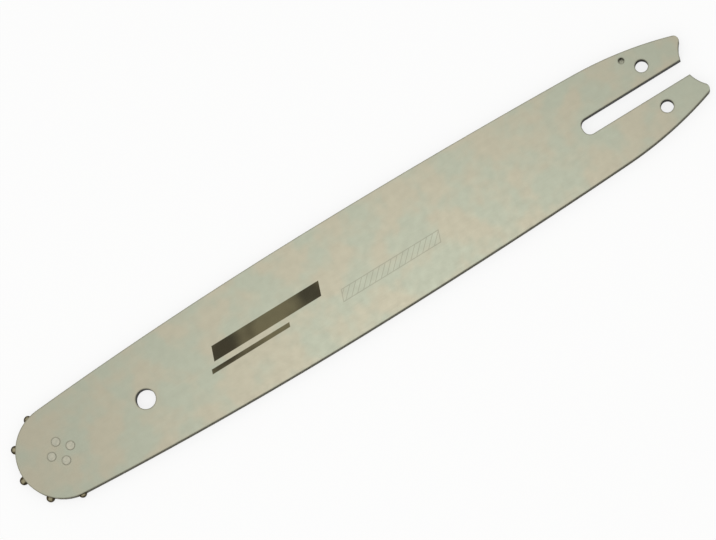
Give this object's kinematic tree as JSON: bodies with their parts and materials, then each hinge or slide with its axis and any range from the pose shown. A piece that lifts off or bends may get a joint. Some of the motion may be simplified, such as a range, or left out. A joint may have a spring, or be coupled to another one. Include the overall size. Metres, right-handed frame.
{
  "type": "chainsaw guide bar",
  "caption": "Laminated guide bar for a small chainsaw, with a chain groove, an open stud slot and a toothed sprocket turning in its round nose.",
  "frame": {"origin": "on the lower face, on the centreline of the stud slot, midway between the two tensioner holes", "axes": "+X along the bar to the tail, +Y across it to the rail that has the oil inlet on the upper face, +Z through the plates to the upper face"},
  "size_m": [0.3669, 0.0556, 0.0042],
  "materials": {
    "side_plate_steel": "satin steel, warm pale grey",
    "core_steel": "plain rolled steel, oiled",
    "sprocket_steel": "dark steel, paler on the faces of the teeth",
    "bearing_steel": "ground bearing steel",
    "rivet_steel": "steel, ground flush with the side plates"
  },
  "bodies": {
    "bar": {"side_plate_lower": "side_plate_steel", "core_plate": "core_steel", "side_plate_upper": "side_plate_steel", "inner_race": "bearing_steel", "nose_rivets": "rivet_steel"},
    "sprocket": {"nose_sprocket": "sprocket_steel"},
    "rollers": {"roller_01": "bearing_steel", "roller_02": "bearing_steel", "roller_03": "bearing_steel", "roller_04": "bearing_steel", "roller_05": "bearing_steel", "roller_06": "bearing_steel", "roller_07": "bearing_steel", "roller_08": "bearing_steel", "roller_09": "bearing_steel", "roller_10": "bearing_steel", "roller_11": "bearing_steel", "roller_12": "bearing_steel", "roller_13": "bearing_steel", "roller_14": "bearing_steel", "roller_15": "bearing_steel", "roller_16": "bearing_steel", "roller_17": "bearing_steel", "roller_18": "bearing_steel", "roller_19": "bearing_steel", "roller_20": "bearing_steel", "roller_21": "bearing_steel", "roller_22": "bearing_steel"}
  },
  "joints": [
    {"name": "sprocket_spin", "type": "hinge", "parent": "bar", "child": "sprocket", "pos_m": [-0.3218, 0, 0.0021], "axis": [0, 0, 1], "continuous": true},
    {"name": "rollers_orbit", "type": "hinge", "parent": "bar", "child": "rollers", "pos_m": [-0.3218, 0, 0.0021], "axis": [0, 0, 1], "continuous": true}
  ],
  "couplings": [
    {"joint": "rollers_orbit", "follows": "sprocket_spin", "ratio": 0.56981}
  ]
}
